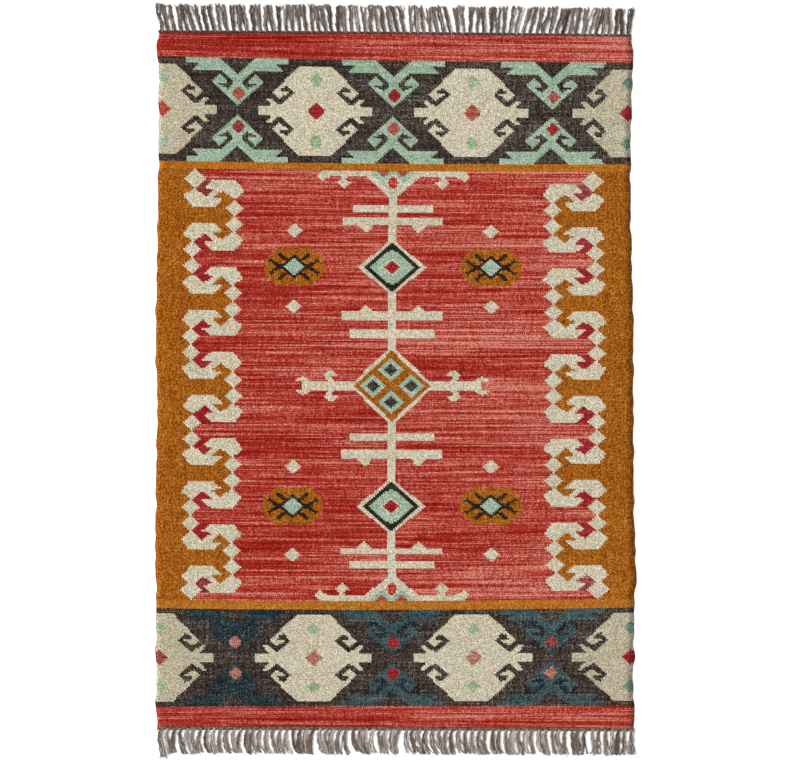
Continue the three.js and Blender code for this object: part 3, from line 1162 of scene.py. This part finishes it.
def yarn_material(name, colours, rug):
    """One dyed yarn as it looks in the weave."""
    streaks, grain, fading, palest = YARN_WAYS[name]
    material, wiring, shader = open_material("wool_" + name, 0.004)
    beads = wiring.group("weave beads", Weave=wiring.attribute("weave"))
    wool = wiring.group(
        "dyed wool", Colour=opaque(getattr(colours, name)),
        Palest=opaque(getattr(colours, palest)), Column=beads["Column"], Pick=beads["Pick"],
        Bobbin=wiring.attribute("bobbin", "Fac"), Chance=beads["Chance"],
        Streaks=streaks * rug.streaks, Grain=grain, Fading=fading)
    fuzz = wiring.group("wool fuzz", Size=900.0)
    # painted shade in the grooves between beads and painted light on their crowns
    shade = wiring.between(beads["Height"], 0.1, 0.95, GROOVE_PAINTED_SHADE, CROWN_PAINTED_LIGHT)
    own = beads["Chance"] * 0.5 + 0.75 + fuzz["Mottle"] * 1.5
    # painted light on the left selvedge and painted shade on the right one, times the beads'
    # random tone
    shade = shade * (own * beads["Selvedge"])
    colour = wiring.blend(1.0, wool["Colour"], wiring.vector(shade, shade, shade), "MULTIPLY")
    wiring.feed_all(
        shader, Base_Color=wiring.blend(fuzz["Haze"] * 0.008, colour, CLOTH_HAZE),
        Roughness=wiring.between(wool["Tone"], 0.0, 1.0, MATT, 0.82),
        Normal=wiring.bump(fuzz["Height"] * 0.22 + beads["Height"], rug.bead_depth))
    return material


def heading_material(name, colour, second):
    """The two dark yarns of a twined heading."""
    material, wiring, shader = open_material(name, 0.05)
    along, across, _ = wiring.parts(wiring.attribute("weave"))
    twine = along + wiring.math("ABSOLUTE", across) * 0.8
    stitch = wiring.math("FLOOR", twine * 2.0)
    side = wiring.math("SIGN", across)
    chance = wiring.chance(wiring.vector(stitch, side, 0.3))
    drift = wiring.noise(wiring.vector(twine * 0.35, side), detail=3.0)
    fuzz = wiring.group("wool fuzz", Size=1100.0)
    mixed = wiring.between(chance * 0.55 + drift * 0.6, 0.25, 0.85)
    tone = wiring.blend(mixed, opaque(colour), opaque(second))
    wiring.feed_all(
        shader, Base_Color=wiring.blend(fuzz["Haze"] * 0.2, tone, HEADING_HAZE),
        Roughness=wiring.between(drift, 0.0, 1.0, MATT, 0.84),
        Normal=wiring.bump(fuzz["Height"], 0.0006, 0.6))
    return material


def fringe_material(name, colour):
    """The undyed warp yarns of the fringe, plied and a little dusty, with painted shade in the
    grooves between the plies.
    """
    material, wiring, shader = open_material(name, 0.08)
    plied = wiring.group("plied yarn", Twist=wiring.attribute("twist"), Turns_per_Metre=260.0)
    fuzz = wiring.group("wool fuzz", Size=1300.0)
    reach = wiring.between(plied["Tone"], 0.15, 0.9, 3.2, 0.1)
    # painted shade: each yarn's random tone, darkened in the grooves between its plies
    groove = wiring.between(plied["Height"], 0.0, 0.8, 0.4, 0.0)
    toned = wiring.gamma(opaque(colour), reach + groove)
    wiring.feed_all(
        shader, Base_Color=wiring.blend(fuzz["Haze"] * 0.2, toned, FRINGE_HAZE),
        Roughness=wiring.between(fuzz["Height"], 0.2, 0.8, MATT, 0.8),
        Normal=wiring.bump(fuzz["Height"] * 0.3 + plied["Height"], 0.0005))
    return material


def floor_material(colour):
    """Plain pale studio floor with a faint unevenness."""
    material, wiring, shader = open_material("studio_floor", 0.0)
    cloud = wiring.noise(wiring.node("ShaderNodeTexCoord", (), "Object"), 1.3)
    paler = tuple(min(1.0, part * 1.02) for part in colour)
    wiring.feed_all(shader, Base_Color=wiring.blend(cloud, opaque(colour), opaque(paler)),
                    Roughness=wiring.between(cloud, 0.0, 1.0, 0.8, 0.9))
    return material


# ---- what a user may change
def dye(red, green, blue):
    """A colour given on the usual scale of 0 to 255, as the linear colour that shaders take."""
    parts = [part / 255 for part in (red, green, blue)]
    return tuple(part / 12.92 if part <= 0.04045 else ((part + 0.055) / 1.055) ** 2.4
                 for part in parts)


def colour_property(name, description, default):
    return FloatVectorProperty(name=name, description=description, default=default,
                               subtype="COLOR", size=3, min=0.0, max=1.0)


class KilimColours(bpy.types.PropertyGroup):
    """The colours of the yarns."""

    red: colour_property("Red", "Ground of the field", dye(180, 61, 50))
    blush: colour_property("Blush", "The palest shots of the red ground", dye(226, 142, 120))
    cream: colour_property("Cream", "Hooks, bars and hexagons", dye(214, 204, 178))
    oat: colour_property("Oat", "Half hexagons at the sides", dye(196, 185, 158))
    charcoal: colour_property("Charcoal", "Ground of the end bands", dye(64, 54, 48))
    mint: colour_property("Mint", "Far crosses and the eyes", dye(163, 187, 163))
    sage: colour_property("Sage", "Small diamonds of the hexagons", dye(157, 180, 142))
    teal: colour_property("Teal", "Small diamonds at the right side", dye(108, 146, 124))
    ochre: colour_property("Ochre", "Side borders and narrow stripes", dye(164, 92, 20))
    amber: colour_property("Amber", "Narrow stripes beside the bands", dye(184, 111, 33))
    navy: colour_property("Navy", "Left near cross", dye(40, 57, 62))
    slate: colour_property("Slate", "Other near crosses", dye(62, 82, 84))
    ink: colour_property("Ink", "Curls of the near crosses", dye(38, 44, 50))
    black_brown: colour_property("Black brown", "Rings of the eyes", dye(44, 36, 26))
    crimson: colour_property("Crimson", "Small hearts of the motifs", dye(160, 38, 42))
    coral: colour_property("Coral", "Small hearts of the motifs", dye(170, 80, 66))
    rose: colour_property("Rose", "Small hearts of the motifs", dye(146, 62, 60))
    salmon: colour_property("Salmon", "Hearts of the near crosses", dye(180, 118, 102))
    far_heading: colour_property("Far heading", "Twined far heading", dye(92, 70, 60))
    near_heading: colour_property("Near heading", "Twined near heading", dye(140, 110, 88))
    far_fringe: colour_property("Far fringe", "Undyed warps", dye(154, 143, 136))
    # painted light: the same undyed yarn as the far fringe, painted lighter because the light
    # falls differently on the near end
    near_fringe: colour_property("Near fringe", "Undyed warps, more worn", dye(174, 163, 155))


class KilimSizes(bpy.types.PropertyGroup):
    """The sizes and workmanship of the rug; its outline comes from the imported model."""

    thickness: FloatProperty(
        name="Thickness", description="Thickness of the woven cloth", default=CLOTH_THICKNESS,
        min=0.001, max=0.012, unit="LENGTH", subtype="DISTANCE")
    selvedge_roll: FloatProperty(
        name="Selvedge roll", description="How far the cloth falls at its long sides",
        default=0.0034, min=0.0, max=0.0036, unit="LENGTH", subtype="DISTANCE")
    bead_depth: FloatProperty(
        name="Bead depth", description="Depth between the beads of the weave",
        default=0.0009, min=0.0, max=0.004, unit="LENGTH", subtype="DISTANCE")
    streaks: FloatProperty(
        name="Streaks", description="How far the dye wanders from pick to pick", default=1.0,
        min=0.0, max=2.0, subtype="FACTOR")
    strands: IntProperty(
        name="Strands", description="Strands in each lock of the fringe", default=7, min=2, max=9)
    splay: FloatProperty(
        name="Splay", description="Half the width that a lock opens to at its tip",
        default=0.0092, min=0.0, max=0.012, unit="LENGTH", subtype="DISTANCE")


class KilimStudio(bpy.types.PropertyGroup):
    """The floor and the light."""

    floor_colour: colour_property("Floor", "Colour of the studio floor", dye(250, 250, 249))
    key_power: FloatProperty(
        name="Key light", description="Power of the large soft light on the left", default=7200.0,
        min=0.0, max=20000.0, unit="POWER")
    sky: FloatProperty(
        name="Sky", description="Strength of the even light all round", default=0.4, min=0.0,
        max=3.0)


# ---- operators
def add_piece(name, mesh, materials):
    """Puts a mesh in the scene as a piece of the rug."""
    piece = bpy.data.objects.new(name, mesh)
    bpy.context.scene.collection.objects.link(piece)
    for material in materials:
        mesh.materials.append(material)
    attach(piece, "root")
    return piece


class KILIM_OT_cloth(bpy.types.Operator):
    """Weave the cloth from its chart, in one piece with its selvedges"""

    bl_idname = "kilim.cloth"
    bl_label = "Weave the cloth"

    def execute(self, context):
        sizes = context.scene.kilim_sizes
        colours = context.scene.kilim_colours
        mesh = cloth_mesh(rug_chart(), sizes.thickness, sizes.selvedge_roll)
        yarns = [yarn_material(name, colours, sizes) for name in YARNS]
        cloth = add_piece("kilim_cloth", mesh, yarns)
        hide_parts("rug_cloth")
        return {"FINISHED"}


class KILIM_OT_ends(bpy.types.Operator):
    """Add the twined headings and the two fringes"""

    bl_idname = "kilim.ends"
    bl_label = "Knot the ends"

    def execute(self, context):
        sizes = context.scene.kilim_sizes
        colours = context.scene.kilim_colours
        pieces = []
        for end in (FAR_END, NEAR_END):
            twine = getattr(colours, end.name + "_heading")
            twined = heading_material(end.name + "_heading_yarn", twine, colours.black_brown)
            undyed = getattr(colours, end.name + "_fringe")
            warps = fringe_material(end.name + "_warps", undyed)
            heading = add_piece(end.name + "_heading", heading_mesh(end), [twined])
            locks = fringe_mesh(end, sizes.strands, sizes.splay)
            fringe = add_piece(end.name + "_locks", locks, [warps])
            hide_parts(end.name + "_fringe")
            pieces += [heading, fringe]
        return {"FINISHED"}


# the width of floor that the camera sees, and what it looks at, from the middle of the rug
FRAME_WIDTH = 2.0326
FRAME_MIDDLE = (0.0051, -0.0051)
CAMERA_HEIGHT = 10.0
SENSOR = 36.0
FLOOR_SIZE = 60.0
FLOOR_DROP = 0.0001
SKY_COLOUR = (1.0, 0.99, 0.975, 1.0)
KEY_PLACE = (-18.0, 6.8, 15.0)
KEY_SIZE = 10.0
FILL_PLACE = (8.0, -4.0, 9.0)
FILL_SIZE = 6.0
FILL_SHARE = 0.06


def soft_light(name, at, size, power):
    """A square area light that looks at the middle of the floor."""
    data = bpy.data.lights.new(name, "AREA")
    data.size = size
    data.energy = power
    light = bpy.data.objects.new(name, data)
    light.location = at
    light.rotation_euler = (-Vector(at)).to_track_quat("-Z", "Y").to_euler()
    bpy.context.scene.collection.objects.link(light)


class KILIM_OT_stage(bpy.types.Operator):
    """Set up the plain floor, the soft light and the camera straight above"""

    bl_idname = "kilim.stage"
    bl_label = "Set the stage"

    def execute(self, context):
        studio = context.scene.kilim_studio
        bpy.ops.mesh.primitive_plane_add(size=FLOOR_SIZE, location=(0.0, 0.0, -FLOOR_DROP))
        floor = context.object
        floor.name = "studio_floor"
        floor.data.materials.append(floor_material(studio.floor_colour))
        world = bpy.data.worlds.new("studio_sky")
        world.use_nodes = True
        sky = world.node_tree.nodes["Background"]
        sky.inputs["Color"].default_value = SKY_COLOUR
        sky.inputs["Strength"].default_value = studio.sky
        context.scene.world = world
        soft_light("key_light", KEY_PLACE, KEY_SIZE, studio.key_power)
        soft_light("fill_light", FILL_PLACE, FILL_SIZE, studio.key_power * FILL_SHARE)
        data = bpy.data.cameras.new("camera")
        data.sensor_width = SENSOR
        data.lens = SENSOR * CAMERA_HEIGHT / FRAME_WIDTH
        camera = bpy.data.objects.new("camera", data)
        camera.location = (FRAME_MIDDLE[0] + SHIFT_X, FRAME_MIDDLE[1] + SHIFT_Y, CAMERA_HEIGHT)
        context.scene.collection.objects.link(camera)
        context.scene.camera = camera
        context.scene.view_settings.view_transform = "Standard"
        return {"FINISHED"}


class KILIM_PT_builder(bpy.types.Panel):
    """Lists the rug's settings and its steps"""

    bl_label = "Kilim rug"
    bl_space_type = "VIEW_3D"
    bl_region_type = "UI"
    bl_category = "Kilim"

    def draw(self, context):
        scene = context.scene
        layout = self.layout
        for heading, group in (("Sizes", scene.kilim_sizes), ("Yarns", scene.kilim_colours),
                               ("Studio", scene.kilim_studio)):
            column = layout.box().column()
            column.label(text=heading)
            for name in group.bl_rna.properties.keys():
                if name not in ("rna_type", "name"):
                    column.prop(group, name)
        for operator in (KILIM_OT_stage, KILIM_OT_cloth, KILIM_OT_ends):
            layout.operator(operator.bl_idname)


CLASSES = (
    KilimColours, KilimSizes, KilimStudio, KILIM_OT_cloth, KILIM_OT_ends, KILIM_OT_stage,
    KILIM_PT_builder,
)


def register():
    for item in CLASSES:
        bpy.utils.register_class(item)
    bpy.types.Scene.kilim_colours = PointerProperty(type=KilimColours)
    bpy.types.Scene.kilim_sizes = PointerProperty(type=KilimSizes)
    bpy.types.Scene.kilim_studio = PointerProperty(type=KilimStudio)


def unregister():
    del bpy.types.Scene.kilim_studio
    del bpy.types.Scene.kilim_sizes
    del bpy.types.Scene.kilim_colours
    for item in reversed(CLASSES):
        bpy.utils.unregister_class(item)


def main():
    register()
    bpy.ops.kilim.stage()
    bpy.ops.kilim.cloth()
    bpy.ops.kilim.ends()


if __name__ == "__main__":
    main()
